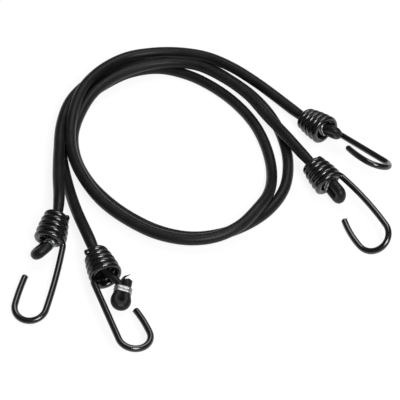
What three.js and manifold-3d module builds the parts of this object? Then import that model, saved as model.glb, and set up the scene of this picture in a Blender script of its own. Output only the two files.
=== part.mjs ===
// A pair of bungee cords laid down in one loose double loop.
// Each cord is a rubber core in a braided sheath, folded over and clipped at both ends.
// Each end is held in the coil of a bent wire hook.
// Millimetres, +Z up, with the floor at z = 0.
import * as THREE from "three";
import { mergeVertices } from "three/addons/utils/BufferGeometryUtils.js";
import Module from "manifold-3d";

const wasm = await Module();
wasm.setup();

// Cord
const CORD_DIAMETER = 8;
const SHEATH_WALL = 1;
const CORE_CLEARANCE = 0.3;
const CORD_FLAT = 0.8;
const STRAND_GAP = 0.6;
const CORD_SIDES = 8;
const CORD_STEP = 14;
const SAMPLES_PER_STOP = 24;

// Folded end of a cord, drawn thin by the clip
const NECK_DIAMETER = 5.2;
const NECK_GAP = 0.5;
const NECK_MARGIN = 1.2;
const BIGHT_DIAMETER = 7;
const BIGHT_RADIUS = 3.8;
const BIGHT_STEPS = 6;

// Clip round the two legs of the fold
const CLIP_HEIGHT = 5;
const CLIP_THICKNESS = 1.1;
const CLIP_EDGE_THICKNESS = 0.65;
const CLIP_LIP_OUTER = 1.9;
const CLIP_LIP_INNER = 0.75;
const CLIP_GROOVE = 0.35;
const CLIP_CLEARANCE = 0.3;
const CLIP_SLIT = 0.8;
const CLIP_ROUND_STEPS = 6;

// Wire hook
const WIRE_DIAMETER = 4.4;
const WIRE_SIDES = 8;
const COIL_STEPS = 58;
const STEPS_PER_TURN = 12;
const TURN_GAP = 0.5;
const COIL_CLEARANCE = 0.4;
const COIL_MOUTH_RADIUS = 9.9;
const COIL_FLAT = 0.5;
const MOUTH_LIFT = 1.2;
const STUB_LENGTH = 3.2;
const SHANK_BEND_RADIUS = 4.5;
const SHANK_BEND_STEPS = 4;
const SHANK_LENGTH = 56;
const HOOK_WIDTH = 23.2;
const TIP_LENGTH = 24;
const ROUND_STEPS = 12;

// The coil holds the cord on its axis at these shares of its length from the mouth.
const HELD_SHARES = [0.75, 0.5];

// Block under the floor that trims what stands on it
const FLOOR_SPAN = 800;

// Middle of the four hooks in the layout below, which becomes the part's origin
const LAYOUT_MIDDLE = [6.2, -32.3];

const CORD_RADIUS = CORD_DIAMETER / 2;
const WIRE_RADIUS = WIRE_DIAMETER / 2;
const COIL_PITCH = WIRE_DIAMETER + TURN_GAP;
const COIL_LENGTH = (COIL_PITCH * COIL_STEPS) / STEPS_PER_TURN;
const COIL_ENTRY_RADIUS = CORD_RADIUS + COIL_CLEARANCE + WIRE_RADIUS;
const MOUTH_HEIGHT = COIL_MOUTH_RADIUS + WIRE_RADIUS - COIL_FLAT;
const NECK_OFFSET = (NECK_DIAMETER + NECK_GAP) / 2;

// The four ends. A hook's axis leaves the mouth of its coil at yaw and pitch, in degrees.
// Hook c stands on the narrow end of its coil, which lifts its mouth.
// roll turns the shank about that axis. Each wire was sheared at a slightly different tip length.
// fold is how the clipped end lies:
// clip is the clip's centre, and yaw, pitch and roll its own turn.
// reach is the length from the clip to the round of the fold, and tail the cut end's length.
const ENDS = {
  a: {
    mouth: [-112.1, -50.6, MOUTH_HEIGHT],
    yaw: -100,
    pitch: -8.2,
    roll: -1,
    tip: TIP_LENGTH + 0.5,
    fold: { clip: [-112, -52.5, 11.1], yaw: -136, pitch: -8, roll: 46, reach: 9.4, tail: 4 },
  },
  b: {
    mouth: [-68.1, -84.6, MOUTH_HEIGHT],
    yaw: -67.7,
    pitch: 0,
    roll: 170,
    tip: TIP_LENGTH - 1.5,
    fold: { clip: [-56, -94, 7.6], yaw: -98, pitch: -8, roll: 164, reach: 8.9, tail: 8 },
  },
  c: {
    mouth: [100.7, 62.8, MOUTH_HEIGHT + MOUTH_LIFT],
    yaw: -50.3,
    pitch: 10.6,
    roll: -31.5,
    tip: TIP_LENGTH + 2,
    fold: { clip: [98.8, 65.1, 12.5], yaw: -36, pitch: 10, roll: 108, reach: 10.3, tail: 4 },
  },
  d: {
    mouth: [100.6, 6.4, MOUTH_HEIGHT],
    yaw: -57,
    pitch: -3.2,
    roll: 33,
    tip: TIP_LENGTH + 2.5,
    fold: { clip: [100.4, 6.4, 11.5], yaw: -58, pitch: -4, roll: 82, reach: 10.8, tail: 4 },
  },
};

// Heights of a strand on the floor and of one lying across it
const LOW = CORD_RADIUS - CORD_FLAT;
const HIGH = LOW + CORD_DIAMETER + STRAND_GAP;

// Routes from coil to coil. Both cords go round one and a half times.
// The first time round they lie on the floor, and the second time on top.
const ROUTE_A_TO_D = [
  [-107.5, -12.5, 16.6],
  [-110.2, 14, 14.4],
  [-111.8, 42, 12.4],
  [-112, 70, HIGH],
  [-107.3, 96.3, 11.2],
  [-97, 117, 9.4],
  [-82, 135.5, 5.6],
  [-63, 148.5, 3.4],
  [-41, 156.5, LOW],
  [-19, 157.5, LOW],
  [3.5, 149.5, LOW],
  [24.5, 132.5, LOW],
  [43.5, 112.5, LOW],
  [58.5, 88, LOW],
  [67, 62.5, LOW],
  [70, 36, LOW],
  [66, 9.5, LOW],
  [54, -11.5, LOW],
  [36.5, -27, LOW],
  [16, -36.8, LOW],
  [-6, -40, LOW],
  [-28.3, -35, LOW],
  [-50.4, -22.5, LOW],
  [-70.6, -5, LOW],
  [-87.8, 17, LOW],
  [-99, 42, LOW],
  [-102.5, 67.5, 3.8],
  [-97.6, 89, 7.4],
  [-87, 110.5, 10.2],
  [-69.5, 127.5, 11.6],
  [-48, 139, HIGH],
  [-25.5, 143.5, HIGH],
  [-2.5, 140, HIGH],
  [20, 125, HIGH],
  [39.5, 104.5, 12],
  [55, 79, 12.2],
  [68.5, 57.5, 13],
  [79.6, 39.2, 12.9],
];
const ROUTE_B_TO_C = [
  [-82.8, -48.8, 12.8],
  [-94.5, -18, 10],
  [-103, 12, 5.4],
  [-108.5, 38.5, LOW],
  [-111.5, 61.5, LOW],
  [-108, 85.5, LOW],
  [-97, 106, LOW],
  [-80.5, 124.5, LOW],
  [-59.5, 140, LOW],
  [-35.5, 145, LOW],
  [-12, 138.3, LOW],
  [9.3, 124.2, LOW],
  [28.8, 104.2, LOW],
  [44.2, 79.8, LOW],
  [53.2, 53.3, LOW],
  [56.6, 27, 3.6],
  [53.2, -0.2, 8.8],
  [43.2, -20, 12],
  [30, -35.5, 11.4],
  [12.5, -44.6, 9.6],
  [-8, -46.9, 8.7],
  [-31.5, -41.4, 8.6],
  [-53.6, -28.5, 8.8],
  [-74.4, -10.4, 9.6],
  [-90.8, 11.9, 11],
  [-101.5, 37.5, 12.2],
  [-104, 62.5, 13.4],
  [-102, 85.3, 16],
  [-95.7, 108.8, 17],
  [-81.3, 132.5, 15],
  [-62, 149.5, 12.6],
  [-39, 156, HIGH],
  [-16, 156, HIGH],
  [6, 150.6, HIGH],
  [26.3, 139.1, 11],
  [45.8, 123.2, 9.4],
  [61.6, 108, 7.8],
  [75, 93.4, 7.2],
];

const rubberCore = new THREE.MeshStandardMaterial({ color: 0x2c2925, roughness: 0.9, metalness: 0 });
const blackBraid = new THREE.MeshStandardMaterial({ color: 0x17171a, roughness: 0.75, metalness: 0 });
const blackCoating = new THREE.MeshStandardMaterial({ color: 0x0b0b0c, roughness: 0.25, metalness: 0.2 });
const brightSteel = new THREE.MeshStandardMaterial({ color: 0xb8babd, roughness: 0.35, metalness: 1 });

// Turns a yaw, pitch and roll in degrees into three square axes: ahead, across and their normal.
function axesOf({ yaw, pitch, roll }) {
  const [y, p, r] = [yaw, pitch, roll].map(THREE.MathUtils.degToRad);
  const ahead = new THREE.Vector3(Math.cos(y) * Math.cos(p), Math.sin(y) * Math.cos(p), Math.sin(p));
  const level = new THREE.Vector3(-Math.sin(y), Math.cos(y), 0);
  const across = level.clone().applyAxisAngle(ahead, r);
  const normal = new THREE.Vector3().crossVectors(ahead, across);
  return [ahead, across, normal];
}

// The frame of a hook: x along its axis out of the coil, y towards its shank, origin in the mouth.
function hookMatrix(end) {
  const matrix = new THREE.Matrix4().makeBasis(...axesOf(end));
  return matrix.setPosition(...end.mouth);
}

// The frame of a fold: x along the doubled cord, y towards the leg that comes from the coil.
function foldMatrix(end) {
  const matrix = new THREE.Matrix4().makeBasis(...axesOf(end.fold));
  return matrix.setPosition(...end.fold.clip);
}

// Square frames along a line of points, turned as little as possible from one to the next.
function framesAlong(points, firstUp) {
  const last = points.length - 1;
  const frames = [];
  let up = firstUp.clone();
  for (let i = 0; i <= last; i++) {
    const before = points[Math.max(i - 1, 0)];
    const after = points[Math.min(i + 1, last)];
    const ahead = new THREE.Vector3().subVectors(after, before).normalize();
    up = up.clone().addScaledVector(ahead, -up.dot(ahead)).normalize();
    const side = new THREE.Vector3().crossVectors(up, ahead);
    frames.push({ side, up });
  }
  return frames;
}

// Frames that start level in the middle of a cord and run out to both of its ends.
function framesFromMiddle(points) {
  const middle = Math.floor(points.length / 2);
  const level = new THREE.Vector3(0, 0, 1);
  const onward = framesAlong(points.slice(middle), level);
  const back = framesAlong(points.slice(0, middle + 1).reverse(), level);
  // Going back, side points the other way, so it is turned round to keep the rings alike.
  const start = back.slice(1).map(({ side, up }) => ({ side: side.negate(), up }));
  return [...start.reverse(), ...onward];
}

// One ring of a tube, with a flat side down.
function roundRing(centre, { side, up }, radius, sides) {
  const ring = [];
  for (let k = 0; k < sides; k++) {
    const angle = ((k + 0.5) * 2 * Math.PI) / sides;
    const point = centre.clone().addScaledVector(side, radius * Math.cos(angle));
    ring.push(point.addScaledVector(up, radius * Math.sin(angle)));
  }
  return ring;
}

// Joins rings into walls. Each wall runs from ring to ring, and a wall turned inwards is a bore.
function skin(walls, caps) {
  const positions = [];
  const index = [];
  const starts = [];
  for (const rings of walls) {
    starts.push(positions.length / 3);
    for (const ring of rings) for (const point of ring) positions.push(point.x, point.y, point.z);
  }
  const quad = (a, b, c, d) => index.push(a, b, c, a, c, d);
  walls.forEach((rings, w) => {
    const size = rings[0].length;
    for (let i = 0; i + 1 < rings.length; i++) {
      for (let k = 0; k < size; k++) {
        const next = (k + 1) % size;
        const here = starts[w] + i * size;
        const ahead = here + size;
        if (w === 0) quad(here + k, here + next, ahead + next, ahead + k);
        else quad(here + k, ahead + k, ahead + next, here + next);
      }
    }
  });
  caps(quad, index, starts);
  const geometry = new THREE.BufferGeometry();
  geometry.setAttribute("position", new THREE.Float32BufferAttribute(positions, 3));
  geometry.setIndex(index);
  return geometry;
}

// A solid bar through rings, with its two ends filled.
function solidTube(rings) {
  const size = rings[0].length;
  const last = (rings.length - 1) * size;
  return skin([rings], (quad, index) => {
    for (let k = 1; k + 1 < size; k++) {
      index.push(0, k + 1, k);
      index.push(last, last + k, last + k + 1);
    }
  });
}

// A hose through outer and inner rings, open at both ends.
function hollowTube(outer, inner) {
  const size = outer[0].length;
  const last = (outer.length - 1) * size;
  return skin([outer, inner], (quad, index, [, bore]) => {
    for (let k = 0; k < size; k++) {
      const next = (k + 1) % size;
      quad(k, bore + k, bore + next, next);
      quad(last + k, last + next, bore + last + next, bore + last + k);
    }
  });
}

function solidOf(geometry) {
  const bare = geometry.clone();
  bare.deleteAttribute("normal");
  bare.deleteAttribute("uv");
  const merged = mergeVertices(bare);
  const triVerts = new Uint32Array(merged.index.array);
  const vertProperties = merged.attributes.position.array;
  return new wasm.Manifold(new wasm.Mesh({ numProp: 3, vertProperties, triVerts }));
}

function geometryOf(solid) {
  const { vertProperties, triVerts } = solid.getMesh();
  const geometry = new THREE.BufferGeometry();
  geometry.setAttribute("position", new THREE.BufferAttribute(vertProperties, 3));
  geometry.setIndex(new THREE.BufferAttribute(triVerts, 1));
  return geometry;
}

// Takes off what would lie below the floor, with a block as deep as a coil's axis is high.
// matrix places the piece in the world.
function cutAtFloor(geometry, matrix = new THREE.Matrix4()) {
  const under = new THREE.BoxGeometry(FLOOR_SPAN, FLOOR_SPAN, MOUTH_HEIGHT);
  under.translate(0, 0, -MOUTH_HEIGHT / 2);
  under.applyMatrix4(matrix.clone().invert());
  return geometryOf(solidOf(geometry).subtract(solidOf(under)));
}

// The centre line of a hook's wire: stub, coil, bend, shank, round of the hook and tip.
function hookLine(tipLength) {
  const shankBend = Math.atan2(SHANK_BEND_RADIUS, COIL_MOUTH_RADIUS);
  const onCircle = (x, radius, angle) =>
    new THREE.Vector3(x, radius * Math.cos(angle), radius * Math.sin(angle));
  const coil = [];
  for (let k = 0; k <= COIL_STEPS; k++) {
    const left = COIL_STEPS - k;
    const narrow = (left / COIL_STEPS) ** 2;
    const radius = COIL_MOUTH_RADIUS - (COIL_MOUTH_RADIUS - COIL_ENTRY_RADIUS) * narrow;
    const angle = shankBend + (left * 2 * Math.PI) / STEPS_PER_TURN;
    coil.push(onCircle((-left * COIL_PITCH) / STEPS_PER_TURN, radius, angle));
  }
  const stubWay = new THREE.Vector3().subVectors(coil[0], coil[1]).setX(0).normalize();
  const stub = coil[0].clone().addScaledVector(stubWay, STUB_LENGTH);

  // The bend turns the wire from round the coil to along the hook.
  const round = onCircle(0, 1, shankBend - Math.PI / 2);
  const bend = [];
  for (let turn = 1; turn <= SHANK_BEND_STEPS; turn++) {
    const angle = (turn * Math.PI) / (2 * SHANK_BEND_STEPS);
    const point = coil[COIL_STEPS].clone().addScaledVector(round, SHANK_BEND_RADIUS * Math.sin(angle));
    bend.push(point.setX(SHANK_BEND_RADIUS * (1 - Math.cos(angle))));
  }
  const shankSide = bend[bend.length - 1].y;
  const hookRadius = HOOK_WIDTH / 2;
  const hook = [];
  for (let step = 0; step <= ROUND_STEPS; step++) {
    const angle = (step * Math.PI) / ROUND_STEPS;
    const across = shankSide - hookRadius * (1 - Math.cos(angle));
    hook.push(new THREE.Vector3(SHANK_LENGTH + hookRadius * Math.sin(angle), across, 0));
  }
  const tip = new THREE.Vector3(SHANK_LENGTH - tipLength, shankSide - HOOK_WIDTH, 0);
  return { coil, line: [stub, ...coil, ...bend, ...hook, tip] };
}

function hookGeometry(end) {
  const { line } = hookLine(end.tip);
  const frames = framesAlong(line, new THREE.Vector3(1, 0, 0));
  const rings = line.map((point, i) => roundRing(point, frames[i], WIRE_RADIUS, WIRE_SIDES));
  return cutAtFloor(solidTube(rings), hookMatrix(end));
}

// The centre line of one cord end, from the coil's narrow end to the cut end of the fold.
function foldStops(end) {
  const inHook = hookMatrix(end);
  const inFold = foldMatrix(end);
  const { reach, tail } = end.fold;
  const neckHalf = CLIP_HEIGHT / 2 + NECK_MARGIN;
  const stops = [];
  const onAxis = (x, diameter) =>
    stops.push({ point: new THREE.Vector3(x, 0, 0).applyMatrix4(inHook), diameter });
  const onFold = (x, y, diameter) =>
    stops.push({ point: new THREE.Vector3(x, y, 0).applyMatrix4(inFold), diameter });
  onAxis(-COIL_LENGTH - WIRE_RADIUS, CORD_DIAMETER);
  for (const share of HELD_SHARES) onAxis(-COIL_LENGTH * share, CORD_DIAMETER);
  onFold(-neckHalf, NECK_OFFSET, NECK_DIAMETER);
  onFold(0, NECK_OFFSET, NECK_DIAMETER);
  onFold(neckHalf, NECK_OFFSET, NECK_DIAMETER);
  for (let step = 0; step <= BIGHT_STEPS; step++) {
    const angle = (step * Math.PI) / BIGHT_STEPS;
    onFold(reach + BIGHT_RADIUS * Math.sin(angle), BIGHT_RADIUS * Math.cos(angle), BIGHT_DIAMETER);
  }
  onFold(neckHalf, -NECK_OFFSET, NECK_DIAMETER);
  onFold(0, -NECK_OFFSET, NECK_DIAMETER);
  onFold(-tail, -NECK_OFFSET, NECK_DIAMETER);
  return stops;
}

// A whole cord as points and diameters: a ring at each stop of its folds, evenly spaced between.
function cordLine(firstEnd, route, lastEnd) {
  const first = foldStops(firstEnd).reverse();
  const last = foldStops(lastEnd);
  const free = route.map((at) => ({ point: new THREE.Vector3(...at), diameter: CORD_DIAMETER }));
  const stops = [...first, ...free, ...last];
  const curve = new THREE.CatmullRomCurve3(stops.map((stop) => stop.point), false, "centripetal");
  const share = (stop) => stop / (stops.length - 1);
  const from = first.length - 1;
  const to = first.length + free.length;

  const fine = [];
  for (let k = 0; k <= (to - from) * SAMPLES_PER_STOP; k++) {
    fine.push(curve.getPoint(share(from + k / SAMPLES_PER_STOP)));
  }
  const along = [0];
  for (let k = 1; k < fine.length; k++) along.push(along[k - 1] + fine[k].distanceTo(fine[k - 1]));
  const freeLength = along[along.length - 1];
  const steps = Math.round(freeLength / CORD_STEP);
  const spaced = [];
  for (let step = 1; step < steps; step++) {
    const k = along.findIndex((length) => length >= (step * freeLength) / steps);
    spaced.push({ point: fine[k], diameter: CORD_DIAMETER });
  }
  return { stops: [...first, ...spaced, ...last], freeLength };
}

function cordRings(stops, radiusOf) {
  const frames = framesFromMiddle(stops.map((stop) => stop.point));
  return stops.map(({ point, diameter }, i) =>
    roundRing(point, frames[i], radiusOf(diameter / 2), CORD_SIDES),
  );
}

function sheathGeometry(stops) {
  const outer = cordRings(stops, (radius) => radius);
  const inner = cordRings(stops, (radius) => radius - SHEATH_WALL);
  return cutAtFloor(hollowTube(outer, inner));
}

function coreGeometry(stops) {
  return solidTube(cordRings(stops, (radius) => radius - SHEATH_WALL - CORE_CLEARANCE));
}

// The clip: a grooved strip bent round both legs, open by a slit where its ends meet.
function clipGeometry() {
  const inside = NECK_DIAMETER / 2 + CLIP_CLEARANCE;
  const half = CLIP_HEIGHT / 2;
  const strip = [
    [0, -half],
    [CLIP_EDGE_THICKNESS, -half],
    [CLIP_THICKNESS, -CLIP_LIP_OUTER],
    [CLIP_THICKNESS, -CLIP_LIP_INNER],
    [CLIP_THICKNESS - CLIP_GROOVE, 0],
    [CLIP_THICKNESS, CLIP_LIP_INNER],
    [CLIP_THICKNESS, CLIP_LIP_OUTER],
    [CLIP_EDGE_THICKNESS, half],
    [0, half],
  ];
  const rings = [];
  const station = (y, z, angle) => {
    const ring = strip.map(([out, x]) => {
      const reach = inside + out;
      return new THREE.Vector3(x, y + reach * Math.cos(angle), z + reach * Math.sin(angle));
    });
    rings.push(ring);
  };
  const quarter = Math.PI / 2;
  station(CLIP_SLIT / 2, 0, quarter);
  for (const [centre, start] of [
    [NECK_OFFSET, quarter],
    [-NECK_OFFSET, -quarter],
  ]) {
    for (let step = 0; step <= CLIP_ROUND_STEPS; step++) {
      station(centre, 0, start - (step * Math.PI) / CLIP_ROUND_STEPS);
    }
  }
  station(-CLIP_SLIT / 2, 0, quarter);
  return solidTube(rings);
}

// Least clear distance of the coil to itself, turn to turn, in the wire's own points.
function leastTurnGap() {
  const { coil } = hookLine(TIP_LENGTH);
  let least = Infinity;
  for (let i = 0; i < coil.length; i++) {
    for (let j = i + STEPS_PER_TURN / 2; j < coil.length; j++) {
      least = Math.min(least, coil[i].distanceTo(coil[j]));
    }
  }
  return least - WIRE_DIAMETER;
}

function meshOf(name, geometry, material) {
  const mesh = new THREE.Mesh(geometry, material);
  mesh.name = name;
  return mesh;
}

function placed(matrix, ...meshes) {
  const group = new THREE.Group();
  group.add(...meshes);
  group.applyMatrix4(matrix);
  return group;
}

const bungeeCords = new THREE.Group();
bungeeCords.position.set(-LAYOUT_MIDDLE[0], -LAYOUT_MIDDLE[1], 0);

for (const [letter, end] of Object.entries(ENDS)) {
  const hook = meshOf(`hook_${letter}`, hookGeometry(end), blackCoating);
  const clip = meshOf(`clip_${letter}`, clipGeometry(), brightSteel);
  bungeeCords.add(placed(hookMatrix(end), hook), placed(foldMatrix(end), clip));
}

const cords = {
  cord_1: cordLine(ENDS.a, ROUTE_A_TO_D, ENDS.d),
  cord_2: cordLine(ENDS.b, ROUTE_B_TO_C, ENDS.c),
};
for (const [name, { stops, freeLength }] of Object.entries(cords)) {
  bungeeCords.add(meshOf(`${name}_sheath`, sheathGeometry(stops), blackBraid));
  bungeeCords.add(meshOf(`${name}_core`, coreGeometry(stops), rubberCore));
  console.log(`${name}: ${freeLength.toFixed(0)} mm between its coils`);
}
console.log(`least gap between coil turns: ${leastTurnGap().toFixed(2)} mm`);

export default bungeeCords;
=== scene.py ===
# %% [markdown]
# # Two bungee cords in a loose loop
#
# Two black elastic cords lie together on a white ground, one and a half turns each.
# Each end of a cord is folded over, clipped, and held in the coil of a bent wire hook.
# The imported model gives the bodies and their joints. This script makes the finished surfaces:
# round wire, fine cord with a braid, grooved steel clips and frayed cut ends.

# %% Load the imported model
import math

import bmesh
import bpy
import numpy as np
from mathutils import Matrix, Vector


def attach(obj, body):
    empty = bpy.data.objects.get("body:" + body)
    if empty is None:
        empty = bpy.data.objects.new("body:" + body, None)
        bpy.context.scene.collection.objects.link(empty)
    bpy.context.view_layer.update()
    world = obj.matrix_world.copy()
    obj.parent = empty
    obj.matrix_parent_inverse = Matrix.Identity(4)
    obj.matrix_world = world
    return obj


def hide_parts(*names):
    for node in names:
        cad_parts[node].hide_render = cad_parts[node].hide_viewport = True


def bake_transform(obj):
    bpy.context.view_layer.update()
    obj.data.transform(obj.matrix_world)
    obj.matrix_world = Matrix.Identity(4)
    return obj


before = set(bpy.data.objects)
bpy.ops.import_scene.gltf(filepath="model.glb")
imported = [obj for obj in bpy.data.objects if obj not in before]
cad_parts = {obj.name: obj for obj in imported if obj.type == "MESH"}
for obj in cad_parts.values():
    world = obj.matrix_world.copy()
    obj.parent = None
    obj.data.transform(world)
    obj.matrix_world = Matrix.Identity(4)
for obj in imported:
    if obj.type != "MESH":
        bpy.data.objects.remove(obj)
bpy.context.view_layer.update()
scene = bpy.context.scene
MM = 0.001

# %% [markdown]
# ## Camera
#
# The photograph looks down at the loop at a little under 50 degrees, through a long lens.
# A long lens keeps near and far strands about the same thickness.
# The view is centred on a point of the ground inside the loop. All places below are measured from
# that point, in millimetres, and LAYOUT_MIDDLE moves them into the model's own frame.

# %% Camera
LAYOUT_MIDDLE = np.array([6.2, -32.3, 0.0])
VIEW_ELEVATION = math.radians(49)
VIEW_DISTANCE = 1.0
LENS_MM = 115.6
SENSOR_MM = 36


def to_frame(points_mm):
    """Layout millimetres as metres in the model's frame."""
    return (np.asarray(points_mm, float) - LAYOUT_MIDDLE) * MM


def new_object(name, data):
    """Puts a new object into the scene."""
    thing = bpy.data.objects.new(name, data)
    scene.collection.objects.link(thing)
    return thing


view_centre = Vector(to_frame([0, 0, 0]))
view_back = Vector((0, -math.cos(VIEW_ELEVATION), math.sin(VIEW_ELEVATION)))
camera_data = bpy.data.cameras.new("camera")
camera_data.lens = LENS_MM
camera_data.sensor_width = SENSOR_MM
camera = new_object("camera", camera_data)
camera.location = view_centre + view_back * VIEW_DISTANCE
camera.rotation_euler = (math.pi / 2 - VIEW_ELEVATION, 0, 0)
scene.camera = camera
print("camera at", [round(v, 3) for v in camera.location])

# %% [markdown]
# ## Sizes of cord, fold and coil
#
# All sizes are in millimetres. The cord is 8 thick, and its braid stands a little proud of that.
# Inside a coil the cord is squeezed thinner. A clip pinches both legs of the folded end to a neck,
# and past the clip the cord turns back in a tight round, the bight.
# A coil is wound in twelfths of a turn and widens from its entry to its mouth.

# %% Sizes
CORD_RADIUS = 4.0
BRAID_PROUD = 0.4
COIL_GRIP = 1.2
NECK_RADIUS = 2.75
NECK_OFFSET = 2.85
NECK_HALF = 3.7
BIGHT_RADIUS = 3.8

WIRE_RADIUS = 2.4
COIL_TURN_STEPS = 12
COIL_STEPS = 58
COIL_PITCH = 4.9
COIL_LENGTH = COIL_PITCH * COIL_STEPS / COIL_TURN_STEPS
COIL_ENTRY_RADIUS = 6.6
COIL_MOUTH_RADIUS = 9.9
TIP_LENGTH = 24.0
HOOK_WIDTH = 23.2
print(f"coil of {COIL_LENGTH:.1f} mm, {COIL_STEPS / COIL_TURN_STEPS:.2f} turns")

# %% [markdown]
# ## The four ends
#
# Each end has a mouth, where its coil is widest, and the turn of the coil's axis there as yaw, pitch
# and roll in degrees. Its clip has a place and a turn of its own. The rest starts from COMMON_END and
# differs a little, because folds are made by hand and wires are bent with some play:
#
# - reach and depth say how far the fold stands out of its clip, and how far its round bellies out.
# - bulge is the cord's radius in the fold, and shoulder says how far its two legs spread.
# - tail, cut_radius and cut_spread give the cut end: its way past the clip, its size and its slant.
# - tip and lean are the length of the hook's tip leg, and how many degrees it leans in on the whole.
# - bow says how far the shank bows out, and width is the width of the hook's round.

# %% Ends
MOUTH_HEIGHT = 11.6
MOUTH_LIFT = 1.2

COMMON_END = {
    "depth": BIGHT_RADIUS, "shoulder": NECK_OFFSET,
    "tail": 4, "cut_radius": 3.5, "cut_spread": 0.9,
    "tip": TIP_LENGTH + 0.5, "bow": 0, "width": HOOK_WIDTH,
}
OWN_VALUES = {
    "a": {
        "mouth": [-112.1, -50.6, MOUTH_HEIGHT], "turn": (-100, -8.2, -1),
        "clip": [-112, -52.5, 11.1], "clip_turn": (-136, -8, 46),
        "reach": 10.9, "depth": 2.3, "bulge": 4.0, "shoulder": 4.0,
        "lean": 4, "bow": 0.8,
    },
    "b": {
        "mouth": [-68.1, -84.6, MOUTH_HEIGHT], "turn": (-67.7, 0, 170),
        "clip": [-56, -94, 8.1], "clip_turn": (-98, -6, 164),
        "reach": 8.9, "bulge": 3.85,
        "tail": 8, "cut_radius": 4.2, "cut_spread": -1.4,
        "tip": TIP_LENGTH - 1.5, "lean": 7,
    },
    "c": {
        "mouth": [100.7, 62.8, MOUTH_HEIGHT + MOUTH_LIFT], "turn": (-50.3, 10.6, -31.5),
        "clip": [98.8, 65.1, 12.5], "clip_turn": (-36, 11.5, 108),
        "reach": 10.3, "bulge": 3.5, "lean": 12,
    },
    "d": {
        "mouth": [100.6, 6.4, MOUTH_HEIGHT], "turn": (-57, -3.2, 33),
        "clip": [100.4, 6.4, 11.5], "clip_turn": (-58, -4, 82),
        "reach": 12.3, "depth": 2.3, "bulge": 3.95, "shoulder": 3.8,
        "tip": TIP_LENGTH + 2.2, "lean": 10, "bow": 1.3, "width": HOOK_WIDTH + 2.2,
    },
}
ENDS = {letter: {**COMMON_END, **own} for letter, own in OWN_VALUES.items()}
print("tip legs in mm:", {letter: end["tip"] for letter, end in ENDS.items()})

# %% [markdown]
# ## The two routes
#
# A cord is one long line. It starts at a cut end, turns back through its clip, runs through a coil,
# goes round the loop and ends the same way at the other hook.
# Only a few points of its way round are given, each with its height. LOW rests on the ground and HIGH lies
# on another strand. A smooth curve through the points gives the rest.

# %% Routes
LOW, HIGH = 3.2, 11.8

ROUTE_A_TO_D = [
    [-107.5, -12.5, 16.6], [-110.2, 14, 14.4], [-111.8, 42, 12.4], [-112, 70, HIGH],
    [-107.3, 96.3, 11.2], [-97, 117, 9.4], [-82, 135.5, 5.6], [-63, 148.5, 3.4],
    [-41, 156.5, LOW], [-19, 157.5, LOW], [3.5, 149.5, LOW], [24.5, 132.5, LOW],
    [43.5, 112.5, LOW], [58.5, 88, LOW], [67, 62.5, LOW], [70, 36, LOW],
    [66, 9.5, LOW], [54, -11.5, LOW], [36.5, -27, LOW], [16, -36.8, LOW],
    [-6, -40, LOW], [-28.3, -35, LOW], [-50.4, -22.5, LOW], [-70.6, -5, LOW],
    [-87.8, 17, LOW], [-99, 42, LOW], [-102.5, 67.5, 3.8], [-97.6, 89, 7.4],
    [-87, 110.5, 10.2], [-69.5, 127.5, 11.6], [-48, 139, HIGH], [-25.5, 143.5, HIGH],
    [-2.5, 140, HIGH], [20, 125, HIGH], [39.5, 104.5, 12], [55, 79, 12.2],
    [68.5, 57.5, 13], [79.6, 39.2, 12.9],
]
ROUTE_B_TO_C = [
    [-82.8, -48.8, 12.8], [-94.7, -18, 10], [-103.4, 12, 5.4], [-109.4, 38.5, LOW],
    [-112.1, 61.5, LOW], [-108, 85.5, LOW], [-97.5, 106.5, LOW], [-81, 125, LOW],
    [-59.5, 140, LOW], [-35.5, 145, LOW], [-12, 138.3, LOW], [9.3, 124.2, LOW],
    [28.8, 104.2, LOW], [44.2, 79.8, LOW], [53.2, 53.3, LOW], [56.6, 27, 3.6],
    [53.2, -0.2, 8.8], [43.2, -20, 12], [30, -35.5, 11.4], [12.5, -44.6, 9.6],
    [-8, -46.9, 8.7], [-31.5, -41.4, 8.6], [-53.6, -28.5, 8.8], [-74.4, -10.4, 9.6],
    [-90, 11.9, 11], [-100.7, 37.5, 12.2], [-104, 62.5, 13.4], [-102, 85.3, 16],
    [-95.7, 108.8, 17], [-81.3, 132.5, 15], [-62, 149.5, 12.6], [-39, 156, HIGH],
    [-16, 156, HIGH], [6, 150.6, HIGH], [26.3, 139.1, 11], [45.8, 123.2, 9.4],
    [61.6, 108, 7.8], [75, 93.4, 7.2],
]
print(len(ROUTE_A_TO_D), "and", len(ROUTE_B_TO_C), "route points")

# %% [markdown]
# ## Smooth lines and the frames along them
#
# A cord's way is a smooth curve that passes through every chosen point, which suits points read from
# a picture. A curve with handles, as Blender draws it by default, would need them set at each point.
# Here the curve's time from point to point grows with the root of their distance. That keeps it from
# looping or overshooting where points lie unevenly.


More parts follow.
